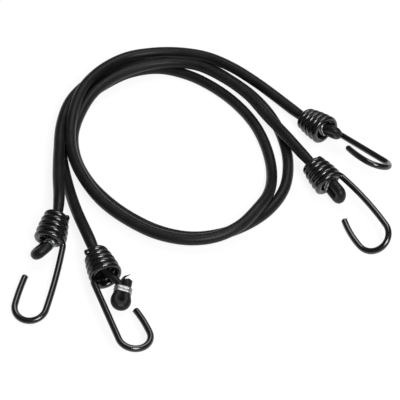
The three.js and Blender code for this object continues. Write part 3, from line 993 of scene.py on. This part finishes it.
def scatter(tree, start, rod, count, share, tilt, shortest, salt, finish_name):
    """Sets rods on a circle, with a random tilt, turn and length, and gives them their finish."""
    add, link = tree.nodes.new, tree.links.new
    circle = add("GeometryNodeMeshCircle")
    if isinstance(count, int):
        circle.inputs["Vertices"].default_value = count
    else:
        link(count, circle.inputs["Vertices"])
    link(maths(tree, "MULTIPLY", start.outputs["Sheath radius"], share), circle.inputs["Radius"])
    seed = maths(tree, "ADD", start.outputs["Seed"], salt)
    turn = add("FunctionNodeRandomValue")
    turn.data_type = "FLOAT_VECTOR"
    turn.inputs["Min"].default_value = (-tilt, -tilt, -HALF_TURN)
    turn.inputs["Max"].default_value = (tilt, tilt, HALF_TURN)
    link(seed, turn.inputs["Seed"])
    size = add("FunctionNodeRandomValue")
    size.data_type = "FLOAT"
    # Sockets 2 and 3 are the least and the greatest value for plain numbers.
    size.inputs[2].default_value = shortest
    size.inputs[3].default_value = 1.0
    link(seed, size.inputs["Seed"])
    stretch = add("ShaderNodeCombineXYZ")
    for axis in "XY":
        stretch.inputs[axis].default_value = 1.0
    link(size.outputs[1], stretch.inputs["Z"])
    place = add("GeometryNodeInstanceOnPoints")
    link(circle.outputs["Mesh"], place.inputs["Points"])
    link(rod, place.inputs["Instance"])
    link(turn.outputs[0], place.inputs["Rotation"])
    link(stretch.outputs[0], place.inputs["Scale"])
    real = add("GeometryNodeRealizeInstances")
    link(place.outputs["Instances"], real.inputs["Geometry"])
    finish = add("GeometryNodeSetMaterial")
    link(real.outputs["Geometry"], finish.inputs["Geometry"])
    link(start.outputs[finish_name], finish.inputs["Material"])
    return finish.outputs["Geometry"]


print("rods turn by up to", round(math.degrees(HALF_TURN)), "degrees either way")

# %% [markdown]
# The strands lie on three circles inside the sheath, and the threads on one at its rim.
# CORE_CIRCLES gives each circle its number of strands, its share of the sheath and a number for its seed.

# %% Cut end tree
CORE_CIRCLES = ((3, 0.1, 1), (7, 0.32, 2), (12, 0.58, 3))
CORE_TILT, CORE_SHORTEST = 0.05, 0.75
FRINGE_SHARE, FRINGE_TILT, FRINGE_SHORTEST, FRINGE_SALT = 0.88, 0.55, 0.35, 7
STRAND_SHARE, STRAND_TOP, STRAND_DEPTH = 0.12, 0.92, 2.4 * MM
THREADS, THREAD_LENGTH = 46, 1.9
THREAD_FOOT, THREAD_TOP = 0.45, 0.12
ROD_SIDES = 8
FIRST_SEED = 11
CUT_INPUTS = (
    ("Start", "Geometry"),
    ("Sheath radius", "Float", NECK_RADIUS * MM, 0.0),
    ("Strand radius", "Float", STRAND_SHARE * NECK_RADIUS * MM, 0.0),
    ("Threads", "Int", THREADS, 3),
    ("Thread length", "Float", THREAD_LENGTH * MM, 0.0),
    ("Seed", "Int", FIRST_SEED, 0),
    ("Rubber", "Material"),
    ("Thread", "Material"),
)


def cut_end_tree():
    tree, ids = new_tree("cut_end", CUT_INPUTS, "Cut end")
    add, link = tree.nodes.new, tree.links.new
    start = add("NodeGroupInput")
    radius = start.outputs["Strand radius"]
    strand = add("GeometryNodeMeshCone")
    strand.inputs["Vertices"].default_value = ROD_SIDES
    strand.inputs["Depth"].default_value = STRAND_DEPTH
    link(radius, strand.inputs["Radius Bottom"])
    link(maths(tree, "MULTIPLY", radius, STRAND_TOP), strand.inputs["Radius Top"])
    thread = add("GeometryNodeMeshCone")
    thread.inputs["Vertices"].default_value = ROD_SIDES
    link(start.outputs["Thread length"], thread.inputs["Depth"])
    link(maths(tree, "MULTIPLY", radius, THREAD_FOOT), thread.inputs["Radius Bottom"])
    link(maths(tree, "MULTIPLY", radius, THREAD_TOP), thread.inputs["Radius Top"])
    join = add("GeometryNodeJoinGeometry")
    for count, share, salt in CORE_CIRCLES:
        core = (count, share, CORE_TILT, CORE_SHORTEST, salt, "Rubber")
        link(scatter(tree, start, strand.outputs["Mesh"], *core), join.inputs["Geometry"])
    fringe = (start.outputs["Threads"], FRINGE_SHARE, FRINGE_TILT, FRINGE_SHORTEST, FRINGE_SALT, "Thread")
    link(scatter(tree, start, thread.outputs["Mesh"], *fringe), join.inputs["Geometry"])
    end = add("NodeGroupOutput")
    link(join.outputs["Geometry"], end.inputs["Cut end"])
    return tree, ids


CUT_TREE, CUT_IDS = cut_end_tree()
print("cut end tree of", len(CUT_TREE.nodes), "nodes")

# %% [markdown]
# The tree makes an end that points up at the origin. Each of the four is made with a seed of its own,
# turned to face the way its cord was going, and sunk a little into the recess of the cut.

# %% Cut ends
CUT_PLACES = (("a", cord_1, 0, 1), ("b", cord_2, 0, 1), ("c", cord_2, -1, -2), ("d", cord_1, -1, -2))
CUT_SINK = 0.9
CUT_SHARP = 40

fringes, cuts = {}, {}
for number, (letter, line, last, before) in enumerate(CUT_PLACES):
    cut = line["centres"][last]
    out = cut - line["centres"][before]
    out /= np.linalg.norm(out)
    cuts[letter] = (cut, out)
    fringe = new_object(f"cut_end_{letter}", bpy.data.meshes.new(f"cut_{letter}"))
    settings = {
        CUT_IDS["Sheath radius"]: ENDS[letter]["cut_radius"] * MM,
        CUT_IDS["Strand radius"]: STRAND_SHARE * ENDS[letter]["cut_radius"] * MM,
        CUT_IDS["Threads"]: THREADS,
        CUT_IDS["Thread length"]: THREAD_LENGTH * MM,
        CUT_IDS["Seed"]: FIRST_SEED + number,
        CUT_IDS["Rubber"]: core_rubber,
        CUT_IDS["Thread"]: loose_thread,
    }
    plain_mesh(fringe, CUT_TREE, settings)
    turn = Vector((0, 0, 1)).rotation_difference(Vector(out)).to_matrix().to_4x4()
    fringe.data.transform(Matrix.Translation(Vector(to_frame(cut - out * CUT_SINK))) @ turn)
    smooth(fringe.data, CUT_SHARP)
    fringes[letter] = fringe
print({letter: len(fringe.data.polygons) for letter, fringe in fringes.items()})

# %% [markdown]
# One lock of braid on the front end has come loose and stands away from the cut in a thin curl.
# It is a short cord of its own that tapers to a point, through four listed points.

# %% Loose lock
LOCK_SAMPLES = 12
LOCK_ROOT, LOCK_POINT = 1.1, 0.08
cut, cut_out = cuts["b"]
lock_stops = [
    cut + np.array([-3.4, 0.2, 1.8]) - cut_out * 0.6,
    cut + np.array([-1.2, 0.8, 3.0]) + cut_out * 1.2,
    cut + np.array([1.0, 0.9, 3.4]) + cut_out * 1.8,
    cut + np.array([3.2, 1.2, 4.0]) + cut_out * 2.4,
]
lock_fine, _ = smooth_line(lock_stops, LOCK_SAMPLES)
lock_side, lock_up = carried_frames(lock_fine, 0)
lock_line = {
    "centres": lock_fine,
    "radii": np.linspace(LOCK_ROOT, LOCK_POINT, len(lock_fine)),
    "along": length_along(lock_fine),
    "side": lock_side,
    "up": lock_up,
}
lock = cord_tube("loose_lock_b", lock_line, 0, len(lock_fine) - 1)
print("lock of", round(lock_line["along"][-1], 1), "mm")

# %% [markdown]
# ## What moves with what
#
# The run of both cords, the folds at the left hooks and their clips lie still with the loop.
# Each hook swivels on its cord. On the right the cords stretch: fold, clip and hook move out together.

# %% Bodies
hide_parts("cord_1_sheath", "cord_1_core")
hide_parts("cord_2_sheath", "cord_2_core")
for name in ("cord_1_run", "cord_2_run", "fold_a", "fold_b"):
    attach(cord_pieces[name], "cords")
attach(lock, "cords")
for letter, fold_body in (("a", "cords"), ("b", "cords"), ("c", "end_c"), ("d", "end_d")):
    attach(hooks[letter], f"hook_{letter}")
    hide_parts(f"hook_{letter}")
    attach(clips[letter], fold_body)
    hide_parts(f"clip_{letter}")
    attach(fringes[letter], fold_body)
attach(cord_pieces["fold_c"], "end_c")
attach(cord_pieces["fold_d"], "end_d")

# %% [markdown]
# Each tail's placement is baked into its points. The length of every run and tail is printed.

# %% Tails and cord lengths
for name, line, body in (("cord_1", cord_1, "end_d"), ("cord_2", cord_2, "end_c")):
    first, last = line["split"], line["foot_start"]
    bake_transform(cord_pieces[f"{name}_tail"])
    for part, begin, finish in (("run", line["head_end"], first), ("tail", first, last)):
        print(name, part, "of", round(line["along"][finish] - line["along"][begin]), "mm")

# %% [markdown]
# ## Ground and light
#
# The ground is plain white. To the camera and in reflections it is close to full white by itself,
# with a share of real light left in it, so that a soft shadow stays. Other rays see plain pale ground,
# so that its glow doesn't light the cords from below.

# %% Ground
FLOOR_HALF = 8.0
FLOOR_DROP = 0.0002
GROUND_GREY = 0.8
GROUND_GLOW, GROUND_LIT = 0.88, 0.14

ground = bpy.data.materials.new("white_ground")
ground.use_nodes = True
tree = ground.node_tree
tree.nodes.clear()
add, link = tree.nodes.new, tree.links.new
plain, lit = add("ShaderNodeBsdfDiffuse"), add("ShaderNodeBsdfDiffuse")
for shader, grey in ((plain, GROUND_GREY), (lit, GROUND_LIT)):
    shader.inputs["Color"].default_value = (grey, grey, grey, 1)
glow = add("ShaderNodeEmission")
glow.inputs["Strength"].default_value = GROUND_GLOW
seen = add("ShaderNodeAddShader")
pick = add("ShaderNodeMixShader")
rays = add("ShaderNodeLightPath")
result = add("ShaderNodeOutputMaterial")
mirrored = maths(tree, "MAXIMUM", rays.outputs["Is Glossy Ray"], rays.outputs["Is Transmission Ray"])
shown = maths(tree, "MAXIMUM", rays.outputs["Is Camera Ray"], mirrored)
link(lit.outputs[0], seen.inputs[0])
link(glow.outputs[0], seen.inputs[1])
link(shown, pick.inputs[0])
link(plain.outputs[0], pick.inputs[1])
link(seen.outputs[0], pick.inputs[2])
link(pick.outputs[0], result.inputs["Surface"])
corner_signs = ((-1, -1), (1, -1), (1, 1), (-1, 1))
floor_corners = [(x * FLOOR_HALF, y * FLOOR_HALF, -FLOOR_DROP) for x, y in corner_signs]
floor = mesh_object("ground", floor_corners, [(0, 1, 2, 3)], ground)
print("ground of", 2 * FLOOR_HALF, "m")

# %% [markdown]
# Two lamps light the cords. A small bright one, to the right of the camera, puts a short highlight on
# every turn of wire. A broad softbox above and behind the loop draws a long soft streak along the cords.
# A dim white sky fills the rest, so that black stays black.

# %% Light
SKY_STRENGTH = 0.12
sky_world = bpy.data.worlds.new("white_sky")
scene.world = sky_world
sky_world.use_nodes = True
sky = sky_world.node_tree.nodes["Background"]
sky.inputs["Color"].default_value = (1, 1, 1, 1)
sky.inputs["Strength"].default_value = SKY_STRENGTH


def add_lamp(name, place, width, depth, watts):
    """A rectangular lamp that faces the middle of the loop. Its place is measured from there."""
    data = bpy.data.lights.new(name, "AREA")
    data.shape = "RECTANGLE"
    data.size = width
    data.size_y = depth
    data.energy = watts
    lamp = new_object(name, data)
    lamp.location = view_centre + Vector(place)
    lamp.rotation_euler = Vector(place).to_track_quat("Z", "Y").to_euler()
    return lamp


key = add_lamp("key", place=(0.34, -0.72, 0.9), width=0.42, depth=0.42, watts=11.0)
softbox = add_lamp("softbox", place=(0.24, 0.42, 1.03), width=0.6, depth=0.9, watts=6.4)
scene.view_settings.view_transform = "Standard"
print("lamps at", [[round(v, 2) for v in lamp.location] for lamp in (key, softbox)])
